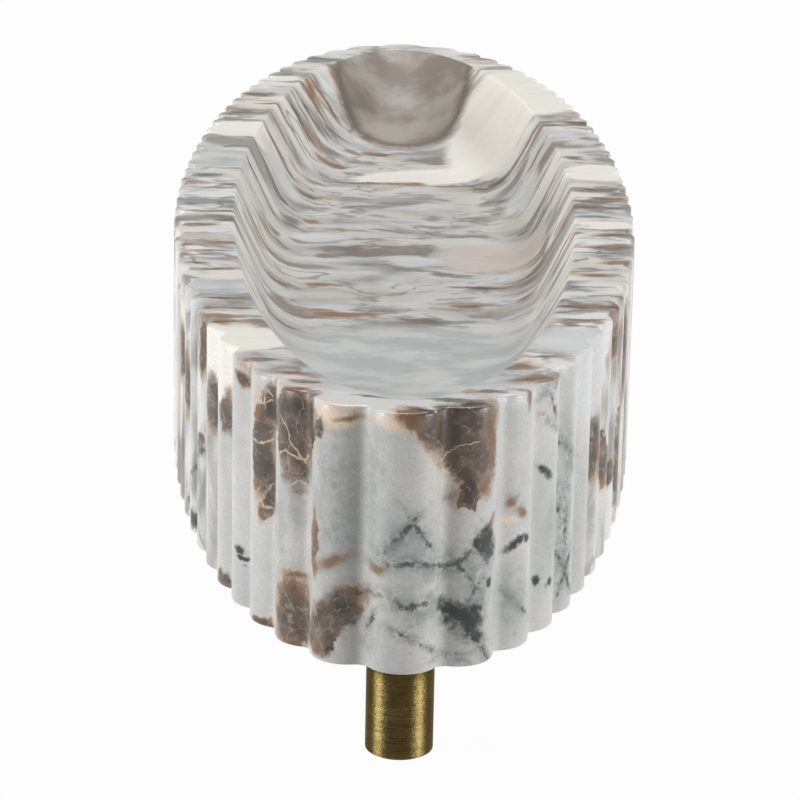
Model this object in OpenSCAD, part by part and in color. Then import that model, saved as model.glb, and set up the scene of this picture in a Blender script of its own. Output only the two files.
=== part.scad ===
// Long oval stone bowl with a lobed wall, standing on four short brass feet.
// Its length runs along Y, with the front end towards -Y. It stands on z = 0, and its middle is x = y = 0.
// All lengths are millimetres and all angles are degrees.

/* [Stone] */
// Width over the lobes of the two long sides
bowl_w = 152; // [120:1:200]
// Length over the two end lobes
bowl_l = 607; // [400:1:700]
// Height of the stone without its feet
bowl_h = 69.5; // [50:0.5:100]
// Number of lobes around the wall
lobe_count = 78; // [40:2:120]
// Radius of a lobe
lobe_r = 9.85; // [8.5:0.05:14]

/* [Hollow] */
// Width of the flat rim at the long sides, from the crest of a lobe
rim_side = 19.25; // [15:0.25:30]
// Width of the flat rim at the two ends, from the crest of a lobe
rim_end = 14.3; // [12:0.1:30]
// Depth of the hollow below the rim
hollow_depth = 28; // [15:0.5:40]
// Lean of the hollow's wall from upright, across the middle of the bowl
wall_lean = 25; // [10:1:35]
// Radius between that wall and the flat floor
floor_fillet_r = 15; // [5:0.5:18]

/* [Brass feet] */
// Diameter of a foot
foot_d = 18; // [14:0.5:24]
// Height of a foot
foot_h = 28; // [20:0.5:60]
// Distance from the crest of a lobe in to the face of the foot under it
foot_setback = 12; // [4:0.5:30]
// Radius of the rounded lower edge
foot_edge_r = 1; // [0.3:0.1:1.3]

/* [Pads under the feet] */
// Width of the brass lip that is left around a pad
pad_lip = 1.4; // [1:0.1:3]
// Thickness of a pad
pad_h = 1.5; // [1.1:0.1:3]
// Depth of the recess that a pad is glued into
pad_recess = 1; // [0.4:0.1:1]

/* [Studs and inserts] */
// Diameter of the threaded stud
stud_d = 8; // [6:0.5:9]
// Length of stud in the foot
stud_in_foot = 12; // [8:0.5:14]
// Length of stud in the stone
stud_in_stone = 17; // [8:0.5:18]
// Width across the flats of the key socket in a stud's lower end
socket_across = 4; // [2:0.5:4]
// Depth of that socket
socket_depth = 4; // [2:0.5:6]
// Outer diameter of the threaded insert
insert_d = 12; // [11:0.5:15]
// Length of the insert
insert_l = 20; // [19:0.5:26]
// Width and spacing of the glue grooves around the insert
groove_w = 1.5; // [0.8:0.1:2.5]
// Depth of the glue grooves
groove_depth = 0.5; // [0.2:0.1:0.7]

/* [Hidden] */

// Smoothness of round faces, and the steps of the hollow's oval, of its fillet and of the lobes' oval
$fn = 96;
hollow_steps = 96;
fillet_steps = 8;
oval_steps = 1440;

// Clearances: a cut past a face, the stud in its threads, glue round an insert, a pad in its recess,
// and the space left past a stud's end
overrun = 2;
thread_gap = 0.05;
glue_gap = 0.1;
pad_gap = 0.1;
end_gap = 1.5;

// Bevel on the ends of a stud
stud_bevel = 0.8;

// Number of glue grooves around an insert
groove_count = 3;

// Heights
stone_z = pad_h - pad_recess + foot_h;
rim_z = stone_z + bowl_h;

// Ovals: the one on which the lobes' centres lie, and the hollow's edge at the rim
centres_a = bowl_w / 2 - lobe_r;
centres_b = bowl_l / 2 - lobe_r;
hollow_a = bowl_w / 2 - rim_side;
hollow_b = bowl_l / 2 - rim_end;

// Places of the feet: one under each end and one under the middle of each long side
foot_x = bowl_w / 2 - foot_setback - foot_d / 2;
foot_y = bowl_l / 2 - foot_setback - foot_d / 2;
front = [0, -foot_y];
rear = [0, foot_y];
left = [-foot_x, 0];
right = [foot_x, 0];

// A point on an oval, with the angle counted from the front end towards +X
function oval(a, b, angle) = [a * sin(angle), -b * cos(angle)];

function centre_at(i) = oval(centres_a, centres_b, i * 360 / oval_steps);

// Rows of [length run so far, angle] around the centres' oval, so that the lobes can be spaced evenly
oval_run = [
    for (i = 0, run = 0; i <= oval_steps; run = run + norm(centre_at(i + 1) - centre_at(i)), i = i + 1)
        [run, i * 360 / oval_steps]
];
oval_length = oval_run[oval_steps][0];
lobe_centres = [
    for (k = [0 : lobe_count - 1])
        oval(centres_a, centres_b, lookup(k * oval_length / lobe_count, oval_run))
];

// The hollow's profile as rows of [step in from the rim, drop below the rim]: a straight wall that starts
// above the rim, then a fillet that ends level with the floor
fillet_drop = hollow_depth - floor_fillet_r;
fillet_in = floor_fillet_r * cos(wall_lean) + (fillet_drop + floor_fillet_r * sin(wall_lean)) * tan(wall_lean);
hollow_profile = concat(
    [[-overrun * tan(wall_lean), -overrun]],
    [
        for (k = [0 : fillet_steps])
            let (angle = wall_lean + (90 - wall_lean) * k / fillet_steps)
                [fillet_in - floor_fillet_r * cos(angle), fillet_drop + floor_fillet_r * sin(angle)]
    ]
);

// Outline of the stone: a round lobe at each centre, joined by the solid middle
module stone_outline() {
    polygon(lobe_centres);
    for (centre = lobe_centres)
        translate(centre) circle(r = lobe_r);
}

// The hollow: ovals of the same proportions, each smaller and lower than the one above it
module hollow() {
    rows = len(hollow_profile);
    points = [
        for (row = hollow_profile, i = [0 : hollow_steps - 1])
            let (
                share = 1 - row[0] / hollow_a,
                place = oval(hollow_a * share, hollow_b * share, i * 360 / hollow_steps)
            )
                [place[0], place[1], rim_z - row[1]]
    ];
    faces = concat(
        [[for (i = [hollow_steps - 1 : -1 : 0]) i]],
        [[for (i = [0 : hollow_steps - 1]) (rows - 1) * hollow_steps + i]],
        [
            for (row = [0 : rows - 2], i = [0 : hollow_steps - 1])
                let (
                    next = (i + 1) % hollow_steps,
                    upper = row * hollow_steps,
                    lower = upper + hollow_steps
                )
                    [upper + i, upper + next, lower + next, lower + i]
        ]
    );
    polyhedron(points, faces);
}

// The stone, sawn flat above and below, with a blind hole for each threaded insert
module bowl_body() {
    color([0.80, 0.78, 0.75])
        difference() {
            translate([0, 0, stone_z]) linear_extrude(bowl_h) stone_outline();
            hollow();
            for (place = [front, rear, left, right])
                translate([place[0], place[1], stone_z - overrun])
                    cylinder(r = insert_d / 2 + glue_gap, h = overrun + insert_l + glue_gap);
        }
}

// A turned brass foot, tapped from above for its stud and recessed below for its pad
module foot(place) {
    foot_r = foot_d / 2;
    foot_z = stone_z - foot_h;
    tapped_h = stud_in_foot + end_gap;
    color([0.52, 0.42, 0.23])
        translate([place[0], place[1], foot_z])
            rotate_extrude()
                difference() {
                    union() {
                        translate([0, foot_edge_r]) square([foot_r, foot_h - foot_edge_r]);
                        square([foot_r - foot_edge_r, foot_h]);
                        translate([foot_r - foot_edge_r, foot_edge_r]) circle(r = foot_edge_r);
                    }
                    translate([0, -overrun]) square([foot_r - pad_lip, overrun + pad_recess]);
                    translate([0, foot_h - tapped_h])
                        square([stud_d / 2 + thread_gap, tapped_h + overrun]);
                }
}

// A rubber pad, which stands proud of the foot's lip
module pad(place) {
    color([0.12, 0.12, 0.12])
        translate([place[0], place[1], 0])
            cylinder(r = foot_d / 2 - pad_lip - pad_gap, h = pad_h);
}

// A steel stud, bevelled at both ends, with a key socket in the lower one
module stud(place) {
    stud_r = stud_d / 2;
    stud_l = stud_in_foot + stud_in_stone;
    color([0.62, 0.63, 0.65])
        translate([place[0], place[1], stone_z - stud_in_foot])
            difference() {
                rotate_extrude()
                    polygon([
                        [0, 0],
                        [stud_r - stud_bevel, 0],
                        [stud_r, stud_bevel],
                        [stud_r, stud_l - stud_bevel],
                        [stud_r - stud_bevel, stud_l],
                        [0, stud_l]
                    ]);
                translate([0, 0, -overrun])
                    linear_extrude(overrun + socket_depth)
                        circle(r = socket_across / sqrt(3), $fn = 6);
            }
}

// A brass insert, closed at its upper end, whose grooves hold the glue that fixes it in the stone
module insert(place) {
    color([0.66, 0.55, 0.30])
        translate([place[0], place[1], stone_z])
            rotate_extrude()
                difference() {
                    square([insert_d / 2, insert_l]);
                    translate([0, -overrun])
                        square([stud_d / 2 + thread_gap, overrun + stud_in_stone + end_gap]);
                    for (k = [1 : groove_count])
                        translate([insert_d / 2 - groove_depth, k * insert_l / (groove_count + 1) - groove_w / 2])
                            square([groove_depth + overrun, groove_w]);
                }
}

bowl_body();
foot(front);  // foot_front
foot(rear);  // foot_rear
foot(left);  // foot_left
foot(right);  // foot_right
pad(front);  // pad_front
pad(rear);  // pad_rear
pad(left);  // pad_left
pad(right);  // pad_right
stud(front);  // stud_front
stud(rear);  // stud_rear
stud(left);  // stud_left
stud(right);  // stud_right
insert(front);  // insert_front
insert(rear);  // insert_rear
insert(left);  // insert_left
insert(right);  // insert_right
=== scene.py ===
import math
from types import SimpleNamespace

import bmesh
import bpy
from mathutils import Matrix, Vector


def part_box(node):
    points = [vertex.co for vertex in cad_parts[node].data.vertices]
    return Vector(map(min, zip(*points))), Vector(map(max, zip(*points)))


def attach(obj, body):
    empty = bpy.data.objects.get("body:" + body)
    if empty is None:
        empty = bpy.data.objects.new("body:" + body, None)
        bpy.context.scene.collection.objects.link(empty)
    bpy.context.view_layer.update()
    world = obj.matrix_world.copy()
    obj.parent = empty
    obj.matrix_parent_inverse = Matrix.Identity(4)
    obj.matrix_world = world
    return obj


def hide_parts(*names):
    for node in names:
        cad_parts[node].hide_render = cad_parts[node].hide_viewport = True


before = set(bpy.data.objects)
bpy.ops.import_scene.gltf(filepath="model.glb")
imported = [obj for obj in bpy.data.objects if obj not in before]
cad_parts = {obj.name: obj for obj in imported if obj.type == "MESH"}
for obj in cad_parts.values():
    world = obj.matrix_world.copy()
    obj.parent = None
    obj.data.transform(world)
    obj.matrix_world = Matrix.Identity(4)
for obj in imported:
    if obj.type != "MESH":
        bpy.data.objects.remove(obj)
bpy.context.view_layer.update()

# Stone bowl
# One block of honed, brecciated marble: a lobed wall cut by a round tool, a flat sawn rim, and a smooth
# hollow. Its lower edge is rounded over, its upper edges are only eased, and the creases keep a small fillet.
MM = 0.001
BOWL_W = 152 * MM
LOBES = 78
LOBE_R = 9.85 * MM
CREASE_R = 3.2 * MM
TOP_EASE = 0.8 * MM
FOOT_EASE = 1.1 * MM
RIM_SIDE = 19.25 * MM
RIM_END = 14.3 * MM
HOLLOW_DEPTH = 28 * MM
WALL_LEAN = math.radians(25)
FLOOR_FILLET = 15 * MM
FLOOR_RING = 3 * MM
INSERT_HOLE_R = 6.1 * MM
INSERT_HOLE_DEPTH = 20.1 * MM
SIDES = ("front", "rear", "left", "right")

# Steps of each curve, and rows of faces down the outer wall and down the hollow's straight wall
LOBE_STEPS = 12
CREASE_STEPS = 6
OVAL_STEPS = 1440
TOP_EASE_STEPS = 3
FOOT_EASE_STEPS = 5
HOLLOW_EASE_STEPS = 4
FILLET_STEPS = 10
HOLE_STEPS = 40
WALL_ROWS = 22
HOLLOW_ROWS = 8

stone_low, stone_high = (Vector(corner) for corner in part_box("bowl_body"))
BOWL_L = stone_high.y - stone_low.y
RIM_Z = stone_high.z
BASE_Z = stone_low.z
CENTRES_A = BOWL_W / 2 - LOBE_R
CENTRES_B = BOWL_L / 2 - LOBE_R
HOLLOW_A = BOWL_W / 2 - RIM_SIDE
HOLLOW_B = BOWL_L / 2 - RIM_END


def oval(a, b, angle):
    """A point on an oval, with the angle counted from the front end towards +X."""
    return Vector((a * math.sin(angle), -b * math.cos(angle)))


def lobe_angles():
    """The oval's angle at each lobe's centre: the lobes are spaced evenly along the oval."""
    points = [oval(CENTRES_A, CENTRES_B, math.tau * i / OVAL_STEPS) for i in range(OVAL_STEPS + 1)]
    run = [0.0]
    for here, there in zip(points, points[1:]):
        run.append(run[-1] + (there - here).length)
    angles = []
    step = 0
    for lobe in range(LOBES):
        goal = run[-1] * lobe / LOBES
        while run[step + 1] <= goal:
            step += 1
        share = (goal - run[step]) / (run[step + 1] - run[step])
        angles.append(math.tau * (step + share) / OVAL_STEPS)
    return angles


ANGLES = lobe_angles()
CENTRES = [oval(CENTRES_A, CENTRES_B, angle) for angle in ANGLES]


def arc(centre, radius, start, end, steps):
    """Points on an arc from the direction of start to the direction of end, both included."""
    first = math.atan2(start.y, start.x)
    turn = math.atan2(start.cross(end), start.dot(end))
    for i in range(steps + 1):
        angle = first + turn * i / steps
        yield centre + radius * Vector((math.cos(angle), math.sin(angle)))


def crease_centre(lobe):
    """Centre of the fillet between a lobe and the next one, which touches both from outside."""
    here, there = CENTRES[lobe % LOBES], CENTRES[(lobe + 1) % LOBES]
    chord = there - here
    outward = Vector((chord.y, -chord.x)).normalized()
    reach = math.sqrt((LOBE_R + CREASE_R) ** 2 - (chord.length / 2) ** 2)
    return (here + there) / 2 + outward * reach


def wall_loop(inset):
    """The lobed outline, moved into the stone by inset."""
    points = []
    for lobe, centre in enumerate(CENTRES):
        before, after = crease_centre(lobe - 1), crease_centre(lobe)
        points += arc(centre, LOBE_R - inset, before - centre, after - centre, LOBE_STEPS)
        following = CENTRES[(lobe + 1) % LOBES]
        crease = arc(after, CREASE_R + inset, centre - after, following - after, CREASE_STEPS)
        points += list(crease)[1:-1]
    return points


def hollow_loop(step_in):
    """The hollow's oval, a step in from its edge at the long sides, with as many points as the outline."""
    share = 1 - step_in / HOLLOW_A
    per_lobe = LOBE_STEPS + CREASE_STEPS
    points = []
    for lobe, angle in enumerate(ANGLES):
        following = ANGLES[lobe + 1] if lobe + 1 < LOBES else math.tau
        for i in range(per_lobe):
            part = (i - LOBE_STEPS / 2) / per_lobe
            width = following - angle if part > 0 else angle - ANGLES[lobe - 1] % math.tau
            if lobe == 0 and part < 0:
                width = math.tau - ANGLES[-1]
            points.append(oval(HOLLOW_A * share, HOLLOW_B * share, angle + width * part))
    return points


def eased(radius, steps):
    """(inset, drop) pairs down a quarter-round edge, from the flat face to the wall."""
    for i in range(steps + 1):
        angle = math.pi / 2 * i / steps
        yield radius * (1 - math.sin(angle)), radius * (1 - math.cos(angle))


def hollow_profile():
    """(step in, drop) pairs down the hollow: eased edge, straight leaning wall, fillet and flat floor."""
    slope = math.tan(WALL_LEAN)
    ease_turn = math.pi / 2 - WALL_LEAN
    for i in range(HOLLOW_EASE_STEPS + 1):
        angle = ease_turn * i / HOLLOW_EASE_STEPS
        yield TOP_EASE * (math.sin(angle) - math.tan(ease_turn / 2)), TOP_EASE * (1 - math.cos(angle))
    fillet_drop = HOLLOW_DEPTH - FLOOR_FILLET
    wall_drop = fillet_drop + FLOOR_FILLET * math.sin(WALL_LEAN)
    fillet_in = FLOOR_FILLET * math.cos(WALL_LEAN) + wall_drop * slope
    for i in range(1, HOLLOW_ROWS):
        drop = wall_drop * i / HOLLOW_ROWS
        yield drop * slope, drop
    for i in range(FILLET_STEPS + 1):
        angle = WALL_LEAN + ease_turn * i / FILLET_STEPS
        yield fillet_in - FLOOR_FILLET * math.cos(angle), fillet_drop + FLOOR_FILLET * math.sin(angle)


def add_loop(bm, points, z):
    """A closed loop of edges at height z."""
    verts = [bm.verts.new((point.x, point.y, z)) for point in points]
    return [bm.edges.new((here, there)) for here, there in zip(verts, verts[1:] + verts[:1])]


def bridge(bm, loops):
    """Faces between each loop and the next."""
    for upper, lower in zip(loops, loops[1:]):
        bmesh.ops.bridge_loops(bm, edges=upper + lower)


# The least upward part of a face's normal at which the face counts as level and is shaded flat
LEVEL = 0.9999


def finish_mesh(name, bm):
    """Turns a bmesh into an object of the scene. Its level faces are shaded flat and the others smooth."""
    bmesh.ops.recalc_face_normals(bm, faces=bm.faces)
    mesh = bpy.data.meshes.new(name)
    bm.to_mesh(mesh)
    bm.free()
    for face in mesh.polygons:
        face.use_smooth = abs(face.normal.z) < LEVEL
    piece = bpy.data.objects.new(name, mesh)
    bpy.context.scene.collection.objects.link(piece)
    return piece


def wall_rings(bm):
    """Rings down the lobed wall: eased upper edge, upright wall and rounded lower edge."""
    rings = [add_loop(bm, wall_loop(inset), RIM_Z - drop) for inset, drop in eased(TOP_EASE, TOP_EASE_STEPS)]
    tall = RIM_Z - TOP_EASE - BASE_Z - FOOT_EASE
    flank = wall_loop(0)
    rings += [add_loop(bm, flank, RIM_Z - TOP_EASE - tall * i / WALL_ROWS) for i in range(1, WALL_ROWS)]
    lower_edge = list(eased(FOOT_EASE, FOOT_EASE_STEPS))
    return rings + [add_loop(bm, wall_loop(inset), BASE_Z + drop) for inset, drop in reversed(lower_edge)]


def insert_hole(bm, node):
    """A blind hole up into the stone, with room for glue round its insert. Its mouth's edges are returned."""
    near, far = (Vector(corner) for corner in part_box(node))
    place = (near + far) / 2
    turns = [math.tau * i / HOLE_STEPS for i in range(HOLE_STEPS)]
    points = [place.xy + INSERT_HOLE_R * Vector((math.cos(turn), math.sin(turn))) for turn in turns]
    mouth, end = (add_loop(bm, points, height) for height in (BASE_Z, BASE_Z + INSERT_HOLE_DEPTH))
    bridge(bm, [mouth, end])
    bmesh.ops.edgeloop_fill(bm, edges=end)
    return mouth


def stone_bowl():
    """The stone: wall, rim and hollow as rings, and an underside with a blind hole for each insert."""
    bm = bmesh.new()
    wall = wall_rings(bm)
    bridge(bm, wall)
    hollow = [add_loop(bm, hollow_loop(step_in), RIM_Z - drop) for step_in, drop in hollow_profile()]
    bridge(bm, [wall[0]] + hollow)
    floor_face = bmesh.ops.edgeloop_fill(bm, edges=hollow[-1])["faces"]
    bmesh.ops.inset_region(bm, faces=floor_face, thickness=FLOOR_RING, use_even_offset=True)
    mouths = []
    for side in SIDES:
        mouths += insert_hole(bm, "insert_" + side)
    bmesh.ops.triangle_fill(bm, use_beauty=True, edges=wall[-1] + mouths)
    piece = finish_mesh("stone_bowl", bm)
    for face in piece.data.polygons:
        if face.normal.z > 0 and face.center.z < RIM_Z - HOLLOW_DEPTH / 2:
            face.use_smooth = True
    return piece


stone = stone_bowl()
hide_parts("bowl_body")
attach(stone, "root")


def linear(colour):
    """A colour as seen on a screen, turned into the light value that a shader takes."""
    return [c / 12.92 if c <= 0.04045 else ((c + 0.055) / 1.055) ** 2.4 for c in colour] + [1]


def feed(tree, node, inputs):
    """Sets a node's inputs. Each is a value or another node's output."""
    for name, value in inputs.items():
        if isinstance(value, bpy.types.NodeSocket):
            tree.links.new(value, node.inputs[name])
        else:
            node.inputs[name].default_value = value


def add(tree, kind, inputs=None, **settings):
    """Adds a node with its settings and inputs."""
    node = tree.nodes.new(kind)
    for name, value in settings.items():
        setattr(node, name, value)
    feed(tree, node, inputs or {})
    return node


def maths(tree, operation, *values):
    """One step of arithmetic on numbers."""
    return add(tree, "ShaderNodeMath", dict(enumerate(values)), operation=operation).outputs[0]


def vector(tree, operation, first, second):
    """One step of arithmetic on two places."""
    return add(tree, "ShaderNodeVectorMath", {0: first, 1: second}, operation=operation).outputs[0]


def new_material(name):
    """A material with its node tree, its shader, and the place on the piece in millimetres."""
    material = bpy.data.materials.new(name)
    material.use_nodes = True
    tree = material.node_tree
    place = add(tree, "ShaderNodeTexCoord").outputs["Object"]
    place = vector(tree, "MULTIPLY", place, (1 / MM, 1 / MM, 1 / MM))
    return material, tree, tree.nodes["Principled BSDF"], place


def noise(tree, place, scale, detail=2.0, rough=0.5, output="Fac"):
    """Soft noise whose grain is about 1 / scale millimetres."""
    inputs = {"Vector": place, "Scale": scale, "Detail": detail, "Roughness": rough}
    return add(tree, "ShaderNodeTexNoise", inputs).outputs[output]


def between(tree, value, start, end):
    """0 at start and before, 1 at end and past it, and smooth between them."""
    inputs = {"Value": value, "From Min": start, "From Max": end}
    return add(tree, "ShaderNodeMapRange", inputs, interpolation_type="SMOOTHSTEP").outputs[0]


def mix(tree, mask, below, above):
    """One colour laid over another where the mask is 1."""
    node = add(tree, "ShaderNodeMix", data_type="RGBA")
    for name, value in (("Factor_Float", mask), ("A_Color", below), ("B_Color", above)):
        socket = next(s for s in node.inputs if s.identifier == name)
        if isinstance(value, bpy.types.NodeSocket):
            tree.links.new(value, socket)
        elif name == "Factor_Float":
            socket.default_value = value
        else:
            socket.default_value = linear(value)
    return next(s for s in node.outputs if s.identifier == "Result_Color")


def lay(tree, below, mask, strength, above):
    """One colour laid over another where the mask is 1, and only as thickly as strength says."""
    return mix(tree, maths(tree, "MULTIPLY", mask, strength), below, above)


def warp(tree, place, scale, reach, detail=2.0):
    """Moves a place by a smooth noise of up to about half of reach, in millimetres."""
    swing = vector(tree, "SUBTRACT", noise(tree, place, scale, detail, output="Color"), (0.5, 0.5, 0.5))
    return vector(tree, "ADD", place, vector(tree, "MULTIPLY", swing, (reach, reach, reach)))


FAR = 1.6


def nearest(tree, place, patches, far=FAR):
    """How far a place is from the nearest patch: 0 in its middle, 1 at its edge, and never more than far."""
    field = 0.0
    for centre, half, turn in patches:
        ball = add(tree, "ShaderNodeTexGradient", {"Vector": place}, gradient_type="SPHERICAL")
        ball.texture_mapping.vector_type = "TEXTURE"
        ball.texture_mapping.translation = centre
        ball.texture_mapping.rotation = turn
        ball.texture_mapping.scale = [far * size for size in half]
        field = maths(tree, "MAXIMUM", ball.outputs["Fac"], field)
    return maths(tree, "MULTIPLY_ADD", field, -far, far)


def wall_place(lobe, height):
    """The crest of the wall at a lobe, or between two, and the direction of the wall there."""
    whole = math.floor(lobe)
    first, second = ANGLES[whole % LOBES], ANGLES[(whole + 1) % LOBES]
    angle = first + (second - first) % math.tau * (lobe - whole)
    centre = oval(CENTRES_A, CENTRES_B, angle)
    along = oval(CENTRES_A, CENTRES_B, angle + math.pi / 2)
    outward = Vector((centre.x / CENTRES_A ** 2, centre.y / CENTRES_B ** 2)).normalized()
    crest = centre + outward * LOBE_R
    return Vector((crest.x, crest.y, height)), math.atan2(along.y, along.x)


# How far a patch of the wall reaches into the stone, and out of it, in millimetres
WALL_DEPTH = 9


def on_wall(rows):
    """Patches of the wall. A row holds the lobe, the height, half the length and height, and the tilt."""
    for lobe, height, run, rise, tilt in rows:
        place, heading = wall_place(lobe, height * MM)
        centre = (place.x / MM, place.y / MM, place.z / MM)
        yield centre, (run, WALL_DEPTH, rise), (0, -math.radians(tilt), heading)


def along_wall(lines):
    """A thin patch for each stretch of a vein. A row holds half its width and the places it runs through."""
    for width, *places in lines:
        for here, there in zip(places, places[1:]):
            start, end = (wall_place(lobe, height * MM)[0] / MM for lobe, height in (here, there))
            run = end - start
            half = (run.length / 2 + width, WALL_DEPTH, width)
            yield (start + end) / 2, half, (0, -math.atan2(run.z, run.xy.length), math.atan2(run.y, run.x))


def on_top(rows):
    """Patches of the rim and hollow. A row holds the middle, half the size each way, and the turn."""
    for x, y, z, half_x, half_y, half_z, turn in rows:
        yield (x, y, z), (half_x, half_y, half_z), (0, 0, math.radians(turn))


# Where the larger patches, beds and veins lie, in the rows that the functions above name. Lengths are in
# millimetres and turns in degrees. A lobe is counted from the front one, which is 0, towards +X.
BROWN_WALL = [
    (0.75, 87, 12, 7, -70),
    (0.95, 86, 5, 11, 0),
    (0.3, 93, 10, 4, -40),
    (0.8, 76, 3, 5, 0),
    (0.85, 95, 9, 5, 0),
    (0.6, 95.5, 6, 4.5, 0),
    (-0.85, 43, 11, 5, 40),
    (-1, 38, 8, 5.5, 45),
    (-1.1, 34, 3.5, 6, 70),
    (-1.15, 59, 2, 7, 0),
    (-1.75, 85, 6.5, 14, 0),
    (-1.7, 90, 10, 9.5, 0),
    (-2.5, 90, 5, 7, 0),
    (-2.75, 78, 5, 13.5, 0),
    (-2.6, 64, 2.5, 7, -30),
    (-1.75, 37, 6.5, 10.5, 0),
    (-2.75, 29.5, 4.5, 2, 0),
    (-3.75, 92.5, 3, 2.5, 0),
    (-4.75, 78, 3.5, 5, 0),
    (-5.75, 77, 4.5, 8.5, 0),
    (-4.8, 30, 4, 3, 0),
    (-6.75, 88, 2.5, 8, 0),
    (-9.9, 75, 4, 9, 0),
    (-8.85, 70, 3, 10, 0),
    (-6.8, 60.5, 2.5, 2.5, 0),
    (5.75, 66, 5, 9, 0),
    (6.4, 62, 9, 7, 0),
    (6.9, 56, 6, 6, 0),
    (7.8, 50, 5, 3.5, 0),
    (9, 50, 5, 18, 0),
    (7.85, 89, 4, 5, 0),
    (9.8, 78, 5, 14, 0),
    (-1.1, 91, 2.5, 3, 0),
]
RUST_WALL = [
    (0.05, 96, 4, 2.5, -35),
    (1.1, 89, 1.5, 9, 0),
    (1, 76.5, 2.5, 4, 0),
    (1, 92, 2.5, 4, 0),
    (0.6, 74, 3, 2.5, -35),
    (-1.2, 66, 1, 6, 0),
    (-1.1, 54, 3, 2, 0),
    (-0.85, 56.5, 6, 2, 25),
    (-0.3, 56.5, 3.5, 2, 15),
    (-1.1, 32, 3, 3, 60),
    (-1.7, 48, 5, 1, 0),
    (-1.75, 29, 5, 2, 0),
    (-4.7, 84, 2, 3.5, 0),
    (1.75, 69.5, 2, 2, 0),
    (1.05, 67.5, 2.5, 1, 50),
    (1.95, 96.5, 1.5, 3.5, 0),
    (-0.7, 95, 5, 1, 10),
    (1.05, 66, 4, 1.5, 45),
    (1.9, 66.5, 2, 2.5, 30),
]
DEEP_WALL = [
    (0.55, 87, 3.5, 9, 0),
    (0.7, 77, 4, 6, -30),
    (0.9, 94, 4, 2.5, 0),
    (-1.75, 93, 6, 3, 0),
    (-2.6, 90, 3, 5, 0),
    (-2.75, 74, 4, 4, 0),
]
PEACH_WALL = [
    (-0.85, 95, 8, 3, 0),
    (-0.1, 95.5, 5.5, 2, -10),
    (-1.75, 89, 2, 1.5, 0),
    (1.7, 64, 2, 1.5, 0),
]
GREY_AND_SHADE_WALL = [
    (0, 64, 7, 6, 0),
    (0.4, 56, 9, 4, 0),
    (0.3, 46, 9, 6, 0),
    (0.9, 52, 6, 9, 0),
    (-0.4, 80, 4, 20, 0),
    (-0.5, 38, 4, 8, 0),
    (-1.6, 86, 1.5, 2.5, 0),
    (-1.7, 66, 4, 7, 0),
    # These two tall rows grey the two lobes left of the front one as a whole: partly the stone's own grey,
    # partly painted shade.
    (-0.9, 72, 9, 24, 0),
    (-2.1, 58, 5, 16, 0),
    (5.8, 49, 2.5, 14, 0),
    (0.6, 93, 2, 9, 0),
    (1.8, 44, 6, 10, 0),
    (3, 56, 4, 10, 0),
    (3.8, 70, 3, 20, 0),
    (3.8, 42, 4, 8, 0),
]
DARK_WALL = [
    (0.6, 45, 3, 2, -35),
    (0.7, 43, 3.5, 3, -30),
    (0.85, 41.5, 3, 4.5, 0),
    (0.9, 37, 2.5, 1.5, -40),
    (1.05, 61, 3, 4.5, 20),
    (0.9, 62, 1.5, 1.5, 0),
    (1.1, 50.5, 1, 1, 0),
    (1.8, 58, 3, 1, 25),
    (2, 58.5, 1.5, 1, 0),
    (-7.8, 33, 3, 2.5, 0),
    (-3.8, 44.5, 1.5, 1, 0),
    (-3.7, 42.5, 2, 0.5, 0),
    (2.75, 73, 2.5, 1, -40),
    (2.95, 42, 1, 1, 0),
    (2.65, 43.5, 1, 1, 0),
]
SPECK_WALL = [
    (1.1, 48, 6, 7, 0),
    (0.2, 40, 9, 8, 0),
    (1.8, 40, 5, 8, 0),
    (2.75, 43, 4, 4, 0),
    (3.9, 40, 4, 6, 0),
    (4.7, 36, 2, 4, 0),
    (-3.75, 43, 3, 4, 0),
]
DARK_LINES = [
    (0.5, (0.1, 69.5), (0, 67), (-0.1, 63.5), (-0.2, 61.5)),
    (0.5, (0.1, 69.5), (0.2, 66.5), (0.3, 62.5)),
    (0.6, (-0.1, 58.5), (0.1, 59), (0.4, 57), (0.6, 56), (0.7, 57), (0.8, 59.5)),
    (0.4, (0.7, 56.5), (0.8, 53), (0.9, 50), (0.85, 48)),
    (0.5, (-0.5, 49), (-0.3, 50), (-0.1, 49), (0.05, 47), (0.2, 47), (0.25, 48)),
    (0.7, (0.8, 37.5), (0.95, 35), (1.1, 30.5)),
    (0.3, (-0.05, 40.5), (0.05, 39.5)),
    (0.3, (0.3, 35.5), (0.6, 32), (0.8, 32.5)),
    (0.3, (-0.35, 44), (-0.4, 41)),
    (0.4, (2.95, 96.5), (2.8, 95), (2.85, 92), (3, 87)),
    (0.4, (3.1, 83), (3.7, 76), (3.85, 71.5)),
    (0.4, (3.6, 62.5), (3.65, 56.5), (3.65, 49.5)),
    (0.5, (3.65, 45.5), (3.8, 40.5), (4.05, 33.5)),
    (0.5, (3.95, 44.5), (3.8, 40), (3.7, 36)),
    (0.4, (1.75, 43), (1.85, 41), (2, 38.5)),
    (0.6, (-6.7, 59), (-7.8, 48.5), (-8.7, 35), (-8.85, 30.5)),
]
CRACK_LINES = [
    (0.25, (-2, 90), (-1.85, 87.5), (-1.8, 83.5), (-1.7, 82), (-1.6, 79)),
    (0.3, (-2.05, 80), (-1.9, 81.5), (-1.8, 81), (-1.6, 80), (-1.55, 81)),
    (0.2, (-2.05, 71), (-1.8, 72), (-1.7, 74), (-1.55, 73.5)),
    (0.25, (-3, 79.5), (-2.85, 79), (-2.7, 80), (-2.6, 81)),
    (0.2, (-2.7, 94.5), (-2.6, 92.5), (-2.6, 89)),
    (0.2, (-3, 90.5), (-2.8, 90), (-2.6, 91.5)),
    (0.25, (-2.8, 64), (-2.75, 62), (-2.6, 62.5)),
    (0.15, (0.45, 84), (0.65, 88), (0.9, 89)),
]

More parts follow.
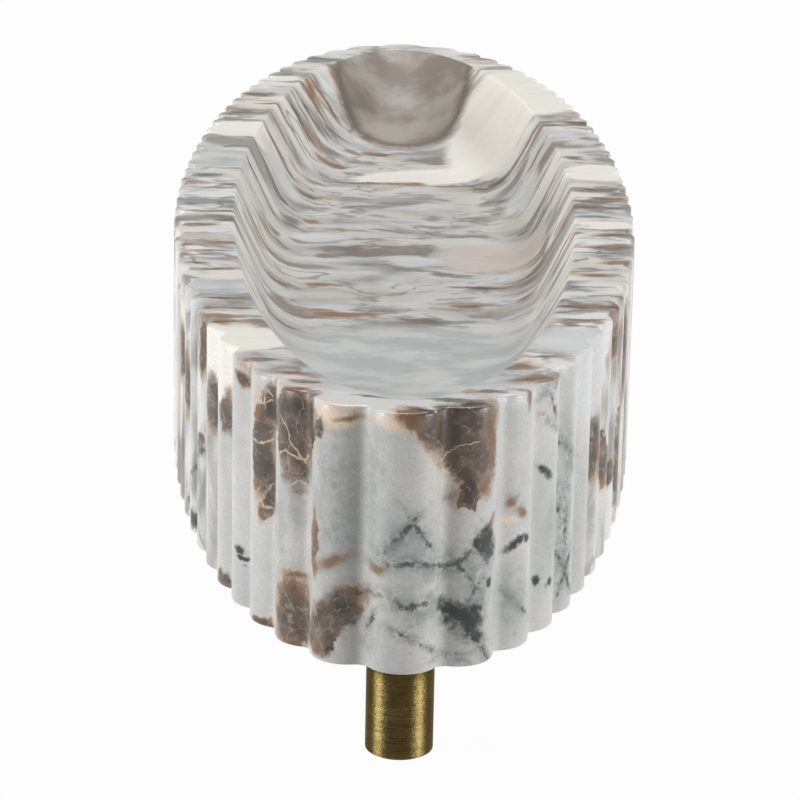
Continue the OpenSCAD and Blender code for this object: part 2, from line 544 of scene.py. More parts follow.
BROWN_TOP = [
    (-72, 120, 98, 8, 4, 8, 0),
    (-58, 166, 98, 14, 5, 8, 0),
    (-54, 145, 98, 9, 3, 8, 0),
    (-61, -61, 98, 11, 2.2, 8, 0),
    (-57, -108, 98, 10, 2.2, 8, 0),
    (-61, -120, 98, 10, 1.7, 8, 0),
    (-55, -145, 98, 9, 2.5, 8, 3),
    (-64, -137, 98, 5, 2, 8, 0),
    (-52, -183, 98, 14, 2.2, 8, 0),
    (-51, -194, 98, 12, 2, 8, 0),
    (-50, -204, 98, 13, 3.2, 8, 0),
    (-40, -252, 98, 7, 3.6, 5, 0),
    (-26, -274, 98, 9, 2, 3, -10),
    (68, 112, 98, 13, 5.5, 8, 0),
    (61, 43, 98, 5, 4.6, 8, 0),
    (67, -14, 98, 12, 3, 8, 0),
    (67, -29, 98, 10, 2.4, 8, 0),
    (66, -44, 98, 12, 3, 8, 0),
    (64, -127, 98, 7, 3.6, 8, 0),
    (54, -185, 98, 13, 3, 8, 3),
    (37, -243, 98, 8, 1.1, 4, 0),
    (31, -253, 98, 6, 5.5, 5, 10),
    (-10, 130, 72, 26, 4, 20, 0),
    (44, 117, 86, 34, 2.2, 40, -10),
    (-33, 57, 70, 4, 5, 5, 0),
    (-25, -44, 70, 11, 2.6, 5, 0),
    (-15, -85, 70, 14, 4, 6, 0),
    (-42, -112, 74, 14, 2.4, 12, 8),
    (25, -44, 70, 17, 1.8, 5, 0),
    (22, -71, 70, 8, 4, 5, 0),
    (41, -66, 73, 5, 5, 8, 0),
    (50, -106, 78, 5, 4, 22, 0),
    (-27, 157, 72, 9, 5, 8, 20),
    (-35, 170, 82, 6, 4, 16, 0),
    (-10, 187, 71, 8, 4, 6, 10),
    (-35, 99, 71, 9, 4, 6, 0),
    (-33, 212, 86, 12, 3, 18, -20),
    (-38, 198, 85, 16, 2.6, 20, -10),
    (-42, 184, 84, 18, 2.4, 20, -6),
    (-42, 166, 84, 18, 3, 20, 0),
    (-45, 151, 84, 18, 2, 20, 0),
    (-46, 128, 84, 16, 2, 20, 0),
    (-48, 106, 84, 16, 2.4, 20, 0),
    (-49, 70, 84, 16, 2, 20, 0),
    (-49, 38, 84, 14, 2.6, 20, 0),
    (-50, 8, 84, 14, 1.6, 20, 0),
    (-49, -18, 80, 14, 3, 16, 0),
    (-46, -52, 80, 14, 2, 16, 0),
    (-42, -84, 78, 14, 2, 14, 0),
    (49, 90, 84, 14, 2.6, 20, 0),
    (50, 58, 84, 14, 2, 20, 0),
    (50, 18, 84, 14, 1.6, 20, 0),
    (50, -38, 84, 14, 2.6, 20, 0),
    (49, -72, 84, 14, 2.4, 20, 0),
    (16, -290, 98, 9, 3.4, 4, -10),
    (22, -280, 98, 8, 3, 3, 10),
    (-7, -287, 98, 9, 1.6, 2, -8),
    (5, -288, 98, 9, 1.6, 2, 8),
]
RUST_TOP = [
    (-53, -211, 98, 9, 2, 5, 0),
    (-29, -266, 98, 8, 2.4, 3, -20),
    (32, -267, 98, 7, 2.6, 3, 15),
    (66, -87, 98, 7, 3, 8, 0),
    (58, -144, 98, 7, 3, 8, 0),
    (-68, -112, 98, 5, 2, 4, 0),
    (-38, 205, 92, 5, 12, 12, 20),
]
DARK_TOP = [
    (-69, -1, 98, 9, 4, 8, 0),
    (-64, -22, 98, 13, 2, 8, 0),
    (-62, -39, 98, 12, 1.2, 8, 0),
    (-64, -82, 98, 10, 2.3, 8, 0),
    (64, -59, 98, 12, 2.4, 8, 0),
    (60, -113, 98, 15, 1.3, 8, 0),
    (58, -160, 98, 13, 1.8, 8, 0),
    (52, -201, 98, 14, 1.6, 5, 4),
    (46, -208, 98, 12, 1.2, 5, -5),
    (-40, 48, 72, 5, 10, 8, 0),
    (-25, 2, 70, 8, 4.5, 6, 0),
    (8, 16, 70, 11, 6.5, 6, 0),
    (14, -26, 70, 10, 5, 5, -25),
    (5, 53, 70, 7, 3.6, 6, 0),
    (-20, 184, 72, 6, 6, 8, 0),
    (18, 127, 70, 22, 1.4, 8, 0),
]
CREAM_TOP = [
    (46, 182, 84, 30, 54, 60, 0),
    (12, 146, 72, 34, 15, 30, 20),
    (-49, -229, 93, 24, 15, 14, 0),
    (-62, 205, 98, 30, 7, 20, 0),
    (-58, 89, 98, 18, 16, 10, 0),
    (68, 16, 98, 14, 15, 10, 0),
    (-62, -33, 98, 14, 2.6, 8, 0),
    (66, -72, 98, 12, 6, 8, 0),
]
PINK_TOP = [
    (32, 2, 74, 22, 24, 18, 0),
    (-18, -278, 98, 12, 5, 4, -20),
    (-66, -100, 98, 10, 5, 8, 0),
]
BLUE_TOP = [
    (0, -166, 71, 70, 70, 17, 0),
    (-55, -168, 98, 18, 10, 8, 0),
    (2, -262, 98, 30, 24, 3, 0),
    (-66, 30, 98, 14, 18, 8, 0),
    (56, 90, 90, 16, 12, 14, 0),
]
ICE_TOP = [
    (50, -226, 92, 18, 18, 20, 0),
    (-6, -292, 98, 34, 12, 3, 0),
    (34, -282, 98, 14, 12, 3, 0),
    (4, -6, 70, 9, 8, 5, 0),
    (44, 75, 78, 8, 16, 14, 0),
    (-66, -33, 98, 10, 3, 8, 0),
    (-46, 90, 84, 10, 9, 20, 0),
    (-44, -62, 80, 12, 9, 16, 0),
    (-30, 30, 71, 10, 8, 6, 0),
]
# Where the hollow's floor and the foot of its walls are greyed as painted shade, as if the walls shaded them
FLOOR_SHADE_TOP = [(0, 40, 66, 46, 260, 12, 0)]
END_TOP = [(1, 288, 70, 41, 88, 55, 0)]


def ramp(tree, value, *stops):
    """A colour that changes with a value. Each stop is a value and its colour."""
    node = add(tree, "ShaderNodeValToRGB", {0: value})
    elements = node.color_ramp.elements
    while len(elements) < len(stops):
        elements.new(0.5)
    for element, (position, colour) in zip(elements, stops):
        element.position = position
        element.color = linear(colour)
    return node.outputs[0]


# In millimetres: the rim's height, where the plain stone of the front end begins and is complete, and the
# half sizes of the oval inside which the stone is honed smoother
RIM = RIM_Z / MM
PLAIN_FROM = -200
PLAIN_BEYOND = -245
HONED_A = 60
HONED_B = 293


def bed(tree, field, shift, scale, detail=3.0, rough=0.5):
    """Noise drawn out into beds that cross the bowl. Each shift gives other beds."""
    place = vector(tree, "ADD", field.beds, (shift, shift, shift))
    return noise(tree, place, scale, detail, rough)


def shared_fields(tree, place):
    """The warped places and the noises that several kinds of stone use."""
    field = SimpleNamespace(place=place)
    field.bent = warp(tree, warp(tree, place, 0.02, 14), 0.1, 5)
    field.blob = warp(tree, warp(tree, place, 0.1, 5), 0.4, 2.4, 4)
    field.near = warp(tree, warp(tree, place, 0.2, 1.6), 0.9, 1.2, 3)
    field.beds = warp(tree, warp(tree, place, 0.02, 16, 1), 0.06, 7, 1)
    field.beds = vector(tree, "MULTIPLY", field.beds, (0.6, 1, 0.28))
    field.fine = noise(tree, field.near, 0.3, 5, 0.7)
    field.speck = noise(tree, place, 0.55, 4, 0.65)
    field.axes = add(tree, "ShaderNodeSeparateXYZ", {0: place}).outputs
    field.ragged = maths(tree, "MULTIPLY_ADD", field.fine, 0.9, -0.45)
    field.torn = maths(tree, "MULTIPLY_ADD", bed(tree, field, 151, 0.13, 4, 0.6), 2.8, -1.12)
    return field


def bedded_stone(tree, field):
    """Pale stone in beds, which are warm, smoky or earthy in places, with thin brown folds between them, and
    a painted shade greying the hollow's floor, as its walls would shade it.
    """
    colour = ramp(
        tree, bed(tree, field, 0, 0.055), (0.35, (0.63, 0.62, 0.60)), (0.42, (0.76, 0.765, 0.76)),
        (0.49, (0.85, 0.85, 0.84)), (0.57, (0.91, 0.905, 0.89)),
    )
    warm = between(tree, bed(tree, field, 211, 0.035, 2), 0.48, 0.58)
    colour = lay(tree, colour, warm, 0.5, (0.88, 0.85, 0.805))
    smoky = between(tree, bed(tree, field, 67, 0.07, 3, 0.6), 0.53, 0.65)
    colour = lay(tree, colour, smoky, 0.75, (0.48, 0.485, 0.475))
    earthy = between(tree, bed(tree, field, 31, 0.065, 3, 0.6), 0.53, 0.62)
    earthy = maths(tree, "MULTIPLY", earthy, between(tree, bed(tree, field, 131, 0.02), 0.42, 0.55))
    soil = between(tree, bed(tree, field, 41, 0.12), 0.4, 0.6)
    soil = mix(tree, soil, (0.46, 0.395, 0.355), (0.62, 0.53, 0.455))
    colour = lay(tree, colour, earthy, 0.85, soil)
    for shift, scale in ((101, 0.045), (301, 0.06)):
        fold = maths(tree, "SUBTRACT", bed(tree, field, shift, scale, 2), 0.5)
        fold = between(tree, maths(tree, "ABSOLUTE", fold), 0.026, 0.0)
        fold = maths(tree, "MULTIPLY", fold, between(tree, bed(tree, field, shift + 7, 0.05), 0.45, 0.62))
        colour = lay(tree, colour, fold, 0.7, (0.47, 0.42, 0.385))
    # Painted shade: the hollow's floor is greyed a little, as its walls would shade it
    floor_shade = between(tree, nearest(tree, field.place, on_top(FLOOR_SHADE_TOP)), 1.4, 0.9)
    return lay(tree, colour, floor_shade, 0.28, (0.56, 0.57, 0.56))


def plain_stone(tree, field, colour):
    """The even, faintly cloudy stone of the wall round the front end."""
    front = between(tree, field.axes["Y"], PLAIN_FROM, PLAIN_BEYOND)
    front = maths(tree, "MULTIPLY", front, between(tree, field.axes["Z"], RIM - 0.2, RIM - 1))
    plain = between(tree, noise(tree, field.bent, 0.04, 4), 0.4, 0.6)
    plain = mix(tree, plain, (0.77, 0.775, 0.77), (0.82, 0.815, 0.80))
    cloud = between(tree, noise(tree, field.near, 0.07, 4, 0.6), 0.42, 0.64)
    plain = lay(tree, plain, cloud, 0.3, (0.72, 0.73, 0.72))
    return mix(tree, front, colour, plain)


def pale_patches(tree, field, colour):
    """Cream, pink and icy patches of the rim and hollow, and their calm grey beds."""
    for rows, outer, inner, strength, tint in (
        (CREAM_TOP, 1.08, 0.85, 0.92, (0.96, 0.945, 0.91)),
        (PINK_TOP, 1.1, 0.8, 0.85, (0.82, 0.775, 0.745)),
        (ICE_TOP, 1.2, 0.7, 0.8, (0.86, 0.87, 0.87)),
    ):
        patch = between(tree, nearest(tree, field.blob, on_top(rows)), outer, inner)
        colour = lay(tree, colour, patch, strength, tint)
    calm = between(tree, nearest(tree, field.blob, on_top(BLUE_TOP)), 1.05, 0.9)
    smooth = between(tree, bed(tree, field, 7, 0.09, 5, 0.6), 0.38, 0.6)
    smooth = mix(tree, smooth, (0.73, 0.745, 0.745), (0.83, 0.835, 0.83))
    return lay(tree, colour, calm, 0.92, smooth)


def wall_tints(tree, field, colour):
    """Grey clouds of the wall, two of them partly painted shade over the front-left lobes, and peach stains.
    """
    grey = between(tree, nearest(tree, field.blob, on_wall(GREY_AND_SHADE_WALL)), 1.5, 0.2)
    grey = maths(tree, "MULTIPLY", grey, between(tree, field.fine, 0.15, 0.75))
    colour = lay(tree, colour, grey, 0.75, (0.56, 0.575, 0.57))
    peach = between(tree, nearest(tree, field.blob, on_wall(PEACH_WALL)), 1.5, 0.4)
    return lay(tree, colour, peach, 0.95, (0.93, 0.85, 0.76))


def brown_stone(tree, field, brown, rusty):
    """The brown fragments' own colour: mottled, rusty at the edge, darker in places, crazed and cracked."""
    mottle = noise(tree, field.near, 0.13, 6, 0.68)
    taupe = ramp(
        tree, mottle, (0.34, (0.22, 0.19, 0.17)), (0.45, (0.33, 0.285, 0.25)),
        (0.55, (0.42, 0.36, 0.315)), (0.7, (0.61, 0.56, 0.52)),
    )
    edge = maths(tree, "MULTIPLY", between(tree, brown, 0.45, 0.95), rusty)
    taupe = lay(tree, taupe, edge, 0.85, (0.55, 0.42, 0.32))
    deep = between(tree, nearest(tree, field.blob, on_wall(DEEP_WALL)), 1.4, 0.4)
    taupe = lay(tree, taupe, deep, 0.65, (0.20, 0.175, 0.16))
    cells = {"Vector": field.blob, "Scale": 0.13}
    crazing = add(tree, "ShaderNodeTexVoronoi", cells, feature="DISTANCE_TO_EDGE").outputs["Distance"]
    crazed = between(tree, crazing, 0.035, 0.0)
    crazed = maths(tree, "MULTIPLY", crazed, between(tree, field.speck, 0.42, 0.6))
    taupe = lay(tree, taupe, crazed, 0.7, (0.70, 0.62, 0.55))
    crack = nearest(tree, field.near, along_wall(CRACK_LINES))
    return mix(tree, between(tree, crack, 1.5, 0.7), taupe, (0.78, 0.70, 0.61))


def brown_patches(tree, field, colour):
    """Brown fragments of the wall and brown beds of the top, with a warm halo round them."""
    brown = maths(tree, "ADD", nearest(tree, field.blob, on_wall(BROWN_WALL)), field.ragged)
    brown_bed = maths(tree, "ADD", nearest(tree, field.blob, on_top(BROWN_TOP)), field.torn)
    rusty = between(tree, noise(tree, field.blob, 0.05, 3), 0.46, 0.6)
    taupe = brown_stone(tree, field, brown, rusty)
    halo = between(tree, maths(tree, "MINIMUM", brown, brown_bed), 1.5, 1.0)
    halo = maths(tree, "MULTIPLY", halo, maths(tree, "MULTIPLY_ADD", rusty, 0.45, 0.2))
    colour = mix(tree, halo, colour, (0.79, 0.70, 0.61))
    soft = between(tree, noise(tree, field.bent, 0.09, 3), 0.38, 0.62)
    soft = maths(tree, "MULTIPLY_ADD", soft, 0.35, 0.04)
    fragment = between(tree, brown, maths(tree, "ADD", 1.0, soft), maths(tree, "SUBTRACT", 1.0, soft))
    bedded = maths(tree, "MULTIPLY", between(tree, brown_bed, 1.25, 0.65), 0.75)
    return mix(tree, maths(tree, "MAXIMUM", fragment, bedded), colour, taupe)


def rust_stains(tree, field, colour):
    """Rusty stains, each a wide pale one with a darker middle."""
    rust = nearest(tree, field.blob, [*on_wall(RUST_WALL), *on_top(RUST_TOP)])
    rust = maths(tree, "ADD", rust, field.ragged)
    colour = lay(tree, colour, between(tree, rust, 1.4, 0.6), 0.55, (0.62, 0.49, 0.38))
    return lay(tree, colour, between(tree, rust, 0.9, 0.2), 0.75, (0.48, 0.35, 0.235))


def end_fragment(tree, field, colour):
    """The large grey-brown fragment in the rear end of the hollow, with a darker edge."""
    end = nearest(tree, field.blob, on_top(END_TOP))
    drift = between(tree, noise(tree, field.near, 0.035, 4, 0.6), 0.38, 0.64)
    smoke = mix(tree, drift, (0.54, 0.505, 0.47), (0.68, 0.655, 0.625))
    smoke = mix(tree, between(tree, end, 0.84, 0.98), smoke, (0.46, 0.41, 0.37))
    below = between(tree, field.axes["Z"], RIM - 0.1, RIM - 0.5)
    inside = maths(tree, "MULTIPLY", between(tree, end, 1.07, 0.93), below)
    return mix(tree, inside, colour, smoke)


def dark_veins(tree, field, colour):
    """Veins of the wall: a grey haze, a broken dark line in it, and small dots."""
    vein = nearest(tree, warp(tree, field.near, 0.3, 1.6, 3), along_wall(DARK_LINES), 6)
    haze = maths(tree, "MULTIPLY", between(tree, vein, 5.8, 0.8), between(tree, field.fine, 0.38, 0.58))
    colour = lay(tree, colour, haze, 0.62, (0.49, 0.505, 0.50))
    frayed = maths(tree, "ADD", vein, maths(tree, "MULTIPLY_ADD", field.speck, -6.5, 3.1))
    gaps = between(tree, noise(tree, field.place, 0.13, 3, 0.7), 0.38, 0.56)
    core = maths(tree, "MULTIPLY", between(tree, frayed, 1.9, 0.2), gaps)
    colour = lay(tree, colour, core, 0.85, (0.22, 0.23, 0.235))
    dots = between(tree, nearest(tree, field.place, on_wall(SPECK_WALL)), 1.3, 0.6)
    dots = maths(tree, "MULTIPLY", dots, between(tree, noise(tree, field.near, 0.35, 4, 0.65), 0.6, 0.7))
    return lay(tree, colour, dots, 0.7, (0.38, 0.39, 0.385))


def dark_patches(tree, field, colour):
    """Grey beds of the top, and slate-dark patches of the wall with a grey shade round them."""
    dark_bed = maths(tree, "ADD", nearest(tree, field.blob, on_top(DARK_TOP)), field.torn)
    colour = lay(tree, colour, between(tree, dark_bed, 1.3, 0.5), 0.75, (0.44, 0.435, 0.415))
    dark = nearest(tree, field.near, on_wall(DARK_WALL), 2.8)
    dark = maths(tree, "MULTIPLY_ADD", field.ragged, 1.3, dark)
    dark = maths(tree, "ADD", dark, maths(tree, "MULTIPLY_ADD", field.speck, -1.8, 0.85))
    colour = lay(tree, colour, between(tree, dark, 1.8, 0.9), 0.6, (0.48, 0.495, 0.49))
    slate = mix(tree, between(tree, field.fine, 0.45, 0.65), (0.09, 0.10, 0.105), (0.24, 0.25, 0.25))
    return lay(tree, colour, between(tree, dark, 1.35, 0.6), 0.94, slate)


def marble_colour(tree, place):
    """The stone's colour at a place in millimetres, with each kind of stone laid over the last."""
    field = shared_fields(tree, place)
    colour = bedded_stone(tree, field)
    for layer in (
        plain_stone, pale_patches, wall_tints, brown_patches,
        rust_stains, end_fragment, dark_veins, dark_patches,
    ):
        colour = layer(tree, field, colour)
    return colour


def honed_mask(tree, place):
    """1 on the rim and in the hollow, which are honed smoother than the wall."""
    across = vector(tree, "MULTIPLY", place, (1 / HONED_A, 1 / HONED_B, 0))
    across = add(tree, "ShaderNodeVectorMath", {0: across}, operation="LENGTH").outputs["Value"]
    height = add(tree, "ShaderNodeSeparateXYZ", {0: place}).outputs["Z"]
    level = between(tree, height, RIM - 0.7, RIM - 0.1)
    return maths(tree, "MAXIMUM", between(tree, across, 1.02, 0.99), level)


def marble():
    """Honed marble, whose crystals sparkle most on the wall. Light sinks a little way into it."""
    material, tree, shader, place = new_material("honed_marble")
    colour = marble_colour(tree, place)
    grain = noise(tree, place, 1.7, 3, 0.7)
    sparkle = maths(tree, "MULTIPLY_ADD", honed_mask(tree, place), -0.5, 0.6)
    glint = maths(tree, "MULTIPLY_ADD", maths(tree, "SUBTRACT", grain, 0.48), sparkle, 1.0)
    relief = maths(tree, "MULTIPLY", sparkle, 0.4)
    bump = add(tree, "ShaderNodeBump", {"Height": grain, "Strength": relief, "Distance": 0.1 * MM})
    feed(tree, shader, {
        "Base Color": add(tree, "ShaderNodeHueSaturation", {"Color": colour, "Value": glint}).outputs[0],
        "Roughness": maths(tree, "MULTIPLY_ADD", grain, -0.3, 0.48),
        "Normal": bump.outputs[0],
        "Subsurface Weight": 0.12,
        "Subsurface Radius": (1.0, 0.9, 0.8),
        "Subsurface Scale": 2.5 * MM,
    })
    return material


stone.data.materials.append(marble())

# Brass feet
# Four short round bars, turned and brushed while they spun, then left to darken. Each is tapped from above,
# screwed tight against the stone, and recessed below for its pad.
LOWER_EDGE = 1.0 * MM
TOP_BEVEL = 0.2 * MM
PAD_LIP = 1.4 * MM
PAD_RECESS = 1.0 * MM
TAPPED_R = 4.05 * MM
TAPPED_DEPTH = 13.5 * MM
EDGE_STEPS = 6
SIDE_ROWS = 6
SPIN_STEPS = 96
MERGE = 0.001 * MM


def foot_profile(radius, height):
    """The foot's half section as (radius, height) pairs: recess, lip, rounded edge, side, top and hole."""
    points = [(0, PAD_RECESS), (radius - PAD_LIP, PAD_RECESS), (radius - PAD_LIP, 0)]
    points += [(radius - inset, rise) for inset, rise in eased(LOWER_EDGE, EDGE_STEPS)]
    side = height - LOWER_EDGE
    points += [(radius, LOWER_EDGE + side * i / SIDE_ROWS) for i in range(1, SIDE_ROWS)]
    points += [(radius, height - TOP_BEVEL), (radius - TOP_BEVEL, height)]
    return points + [(TAPPED_R, height), (TAPPED_R, height - TAPPED_DEPTH), (0, height - TAPPED_DEPTH)]


def spun(name, profile, place, base_z):
    """A turned piece: its half section spun round a vertical axis at place."""
    bm = bmesh.new()
    verts = [bm.verts.new((place.x + radius, place.y, base_z + height)) for radius, height in profile]
    edges = [bm.edges.new(pair) for pair in zip(verts, verts[1:])]
    bmesh.ops.spin(
        bm, geom=verts + edges, cent=(place.x, place.y, base_z), axis=(0, 0, 1),
        angle=math.tau, steps=SPIN_STEPS, use_merge=True,
    )
    bmesh.ops.remove_doubles(bm, verts=bm.verts, dist=MERGE)
    return finish_mesh(name, bm)


def turning_marks():
    """A node group for the marks that a lathe or brush leaves round a piece: noise drawn out along them."""
    group = bpy.data.node_groups.new("turning_marks", "ShaderNodeTree")
    for name, kind in (
        ("Place", "NodeSocketVector"), ("Stretch", "NodeSocketVector"), ("Scale", "NodeSocketFloat"),
        ("Detail", "NodeSocketFloat"), ("Roughness", "NodeSocketFloat"),
    ):
        group.interface.new_socket(name, in_out="INPUT", socket_type=kind)
    group.interface.new_socket("Marks", in_out="OUTPUT", socket_type="NodeSocketFloat")
    given = add(group, "NodeGroupInput").outputs
    drawn_out = vector(group, "MULTIPLY", given["Place"], given["Stretch"])
    marks = noise(group, drawn_out, given["Scale"], given["Detail"], given["Roughness"])
    add(group, "NodeGroupOutput", {"Marks": marks})
    return group


TURNING_MARKS = turning_marks()


def turned(tree, place, stretch, scale, detail, rough):
    """The turning marks, placed in a material with its own values."""
    inputs = {"Place": place, "Stretch": stretch, "Scale": scale, "Detail": detail, "Roughness": rough}
    return add(tree, "ShaderNodeGroup", inputs, node_tree=TURNING_MARKS).outputs["Marks"]


def brushed_brass():
    """Brass with brush marks round it, unevenly darkened, whose highlights spread up and down."""
    material, tree, shader, place = new_material("brushed_brass")
    brushed = turned(tree, place, (0.12, 0.12, 6), 0.9, 4, 0.7)
    dapple = noise(tree, vector(tree, "MULTIPLY", place, (1, 1, 2.5)), 0.9, 3, 0.6)
    age = noise(tree, place, 0.12, 3, 0.6)
    colour = mix(tree, between(tree, age, 0.35, 0.7), (0.44, 0.37, 0.22), (0.54, 0.475, 0.30))
    bump = add(tree, "ShaderNodeBump", {"Height": brushed, "Strength": 0.3, "Distance": 0.02 * MM})
    bump = add(tree, "ShaderNodeBump", {
        "Height": dapple, "Strength": 1.0, "Distance": 0.14 * MM, "Normal": bump.outputs[0],
    })
    feed(tree, shader, {
        "Base Color": mix(tree, between(tree, brushed, 0.35, 0.75), (0.33, 0.275, 0.155), colour),
        "Roughness": maths(tree, "MULTIPLY_ADD", dapple, 0.3, 0.33),
        "Normal": bump.outputs[0],
        "Metallic": 1.0,
        "Specular Tint": linear((0.95, 0.9, 0.82)),
        "Anisotropic": 0.96,
        "Anisotropic Rotation": 0.25,
        "Tangent": add(tree, "ShaderNodeTangent", direction_type="RADIAL", axis="Z").outputs[0],
    })
    return material


# The feet are in a collection of their own because two of the lamps light nothing else
FEET = bpy.data.collections.new("brass_feet")
brass = brushed_brass()
for side in SIDES:
    near, far = (Vector(corner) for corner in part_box("foot_" + side))
    profile = foot_profile((far.x - near.x) / 2, far.z - near.z)
    foot = spun("brass_foot_" + side, profile, (near + far) / 2, near.z)
    foot.data.materials.append(brass)
    FEET.objects.link(foot)
    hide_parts("foot_" + side)
    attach(foot, "root")

# Rubber pads
# Four discs of black moulded rubber, each glued into the recess under a foot so that it stands half a
# millimetre proud. Their edges are eased, and their faces are dull and a little dusty.
PAD_EDGE = 0.2 * MM


def pad_profile(radius, height):
    """The pad's half section: flat below, eased lower edge, side and flat top."""
    return [(0, 0), (radius - PAD_EDGE, 0), (radius, PAD_EDGE), (radius, height), (0, height)]


def black_rubber():
    """Dull black rubber with a fine grain and a little dust."""
    material, tree, shader, place = new_material("black_rubber")
    dust = noise(tree, place, 0.8, 4, 0.65)
    grain = noise(tree, place, 3, 2)
    bump = add(tree, "ShaderNodeBump", {"Height": grain, "Strength": 0.3, "Distance": 0.05 * MM})
    feed(tree, shader, {
        "Base Color": mix(tree, between(tree, dust, 0.45, 0.75), (0.10, 0.10, 0.10), (0.22, 0.215, 0.21)),
        "Roughness": maths(tree, "MULTIPLY_ADD", dust, 0.2, 0.65),
        "Normal": bump.outputs[0],
    })
    return material


rubber = black_rubber()
for side in SIDES:
    near, far = (Vector(corner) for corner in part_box("pad_" + side))
    profile = pad_profile((far.x - near.x) / 2, far.z - near.z)
    pad = spun("rubber_pad_" + side, profile, (near + far) / 2, near.z)
    pad.data.materials.append(rubber)
    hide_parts("pad_" + side)
    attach(pad, "root")

# Steel studs and brass inserts
# A bright steel stud joins each foot to a brass insert, which is glued into a blind hole in the stone. All
# eight are out of sight, so the CAD solids stay and take their own metal.


def machined_metal(name, dull, bright, roughness):
    """A plain machined metal with faint turning marks, between a dull and a bright colour."""
    material, tree, shader, place = new_material(name)
    marks = turned(tree, place, (0.3, 0.3, 4), 1, 3, 0.5)
    feed(tree, shader, {
        "Base Color": mix(tree, between(tree, marks, 0.35, 0.65), dull, bright),
        "Roughness": maths(tree, "MULTIPLY_ADD", marks, 0.2, roughness),
        "Metallic": 1.0,
    })
    return material


steel = machined_metal("turned_steel", (0.55, 0.56, 0.58), (0.68, 0.69, 0.71), 0.25)
insert_brass = machined_metal("insert_brass", (0.58, 0.48, 0.26), (0.72, 0.61, 0.35), 0.3)
for side in SIDES:
    for kind, metal in (("stud_", steel), ("insert_", insert_brass)):
        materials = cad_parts[kind + side].data.materials
        materials.clear()
        materials.append(metal)

# Floor, lamps and camera
# A pale floor under plain soft light from both sides and above, seen from the front end and a little above.
# Two more lamps light the brass feet alone, because this light leaves their bright streaks too weak.
FLOOR_SIZE = 8.0
FLOOR_GREY = 0.6
WHITE_PART = 0.97
WORLD_STRENGTH = 0.09
STONE_AIM = (0, -0.15, 0.06)
TOP_AIM = (0, 0, 0.05)
FOOT_AIM = (0, -0.28, 0.02)
FOOT_LIGHT = (0.78, 0.86, 1.0)
CAMERA_PLACE = Vector((-6.46 * MM, -1048.7 * MM, 304.6 * MM))
CAMERA_DOWN = math.radians(15.24)
CAMERA_HEADING = math.radians(0.366)
CAMERA_ROLL = math.radians(-1.172)
SENSOR = 36.0
LENS = 139.46


def floor_piece():
    """One level square, far wider than the bowl."""
    bm = bmesh.new()
    bmesh.ops.create_grid(bm, x_segments=1, y_segments=1, size=FLOOR_SIZE / 2)
    return finish_mesh("studio_floor", bm)


floor = floor_piece()


def pale_floor():
    """A matt pale floor that the camera and reflections see as nearly white, with part of its shadows."""
    material = bpy.data.materials.new("pale_floor")
    material.use_nodes = True
    tree = material.node_tree
    shader = tree.nodes["Principled BSDF"]
    grey = (FLOOR_GREY, FLOOR_GREY, FLOOR_GREY, 1)
    feed(tree, shader, {"Base Color": grey, "Roughness": 0.9, "Specular IOR Level": 0.0})
    glow = add(tree, "ShaderNodeEmission", {"Color": (1, 1, 1, 1), "Strength": 1.0})
    path = add(tree, "ShaderNodeLightPath").outputs
    seen = maths(tree, "MAXIMUM", path["Is Camera Ray"], path["Is Glossy Ray"])
    seen = maths(tree, "MAXIMUM", seen, path["Is Transmission Ray"])
    part = maths(tree, "MULTIPLY", seen, WHITE_PART)
    blend = add(tree, "ShaderNodeMixShader", {0: part, 1: shader.outputs[0], 2: glow.outputs[0]})
    tree.links.new(blend.outputs[0], tree.nodes["Material Output"].inputs["Surface"])
    return material


floor.data.materials.append(pale_floor())


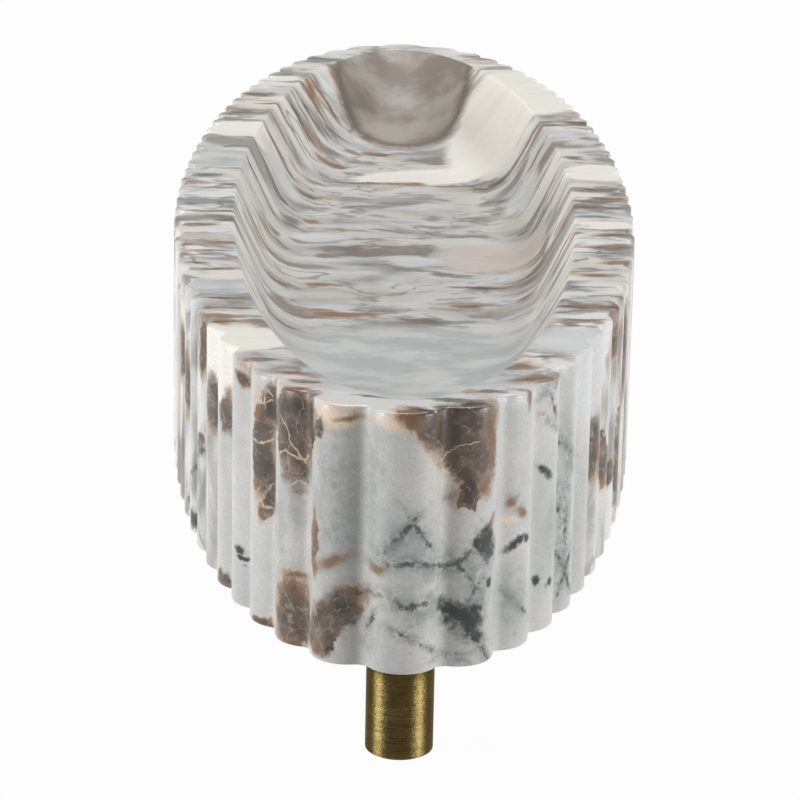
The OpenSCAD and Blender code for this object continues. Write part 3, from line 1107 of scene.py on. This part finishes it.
def soft_box(name, place, target, width, height, power):
    """A rectangular lamp at place that faces target."""
    lamp = bpy.data.lights.new(name, "AREA")
    lamp.shape = "RECTANGLE"
    lamp.size = width
    lamp.size_y = height
    lamp.energy = power
    piece = bpy.data.objects.new(name, lamp)
    piece.location = place
    piece.rotation_euler = (Vector(target) - Vector(place)).to_track_quat("-Z", "Y").to_euler()
    bpy.context.scene.collection.objects.link(piece)
    return piece


soft_box("soft_box_left", (-1.3, -0.55, 0.25), STONE_AIM, 0.5, 0.4, 12.5)
soft_box("soft_box_right", (1.3, -0.7, 0.25), STONE_AIM, 0.5, 0.4, 11.5)
soft_box("soft_box_top", (0, 0.4, 1.6), TOP_AIM, 1.2, 1.2, 27)
foot_boxes = (
    soft_box("foot_box_left", (-1.3, -0.64, 0.6), FOOT_AIM, 0.55, 0.3, 34),
    soft_box("foot_box_right", (1.3, -0.78, 0.6), FOOT_AIM, 0.55, 0.3, 42),
)
for foot_box in foot_boxes:
    foot_box.data.color = FOOT_LIGHT
    foot_box.light_linking.receiver_collection = FEET

world = bpy.data.worlds.new("studio")
bpy.context.scene.world = world
world.use_nodes = True
background = world.node_tree.nodes["Background"]
feed(world.node_tree, background, {"Color": (1, 1, 1, 1), "Strength": WORLD_STRENGTH})


def add_camera():
    """The photograph's viewpoint: heading, then tilt down, then roll."""
    lens = bpy.data.cameras.new("photo_camera")
    lens.sensor_width = SENSOR
    lens.lens = LENS
    camera = bpy.data.objects.new("photo_camera", lens)
    bpy.context.scene.collection.objects.link(camera)
    ahead = Vector((
        math.sin(CAMERA_HEADING) * math.cos(CAMERA_DOWN),
        math.cos(CAMERA_HEADING) * math.cos(CAMERA_DOWN),
        -math.sin(CAMERA_DOWN),
    ))
    level_right = Vector((math.cos(CAMERA_HEADING), -math.sin(CAMERA_HEADING), 0))
    level_down = ahead.cross(level_right)
    right = math.cos(CAMERA_ROLL) * level_right + math.sin(CAMERA_ROLL) * level_down
    down = -math.sin(CAMERA_ROLL) * level_right + math.cos(CAMERA_ROLL) * level_down
    turn = camera.matrix_world.to_3x3()
    turn.col[0] = right
    turn.col[1] = -down
    turn.col[2] = -ahead
    camera.matrix_world = turn.to_4x4()
    camera.location = CAMERA_PLACE
    bpy.context.scene.camera = camera


add_camera()
bpy.context.scene.view_settings.view_transform = "Standard"
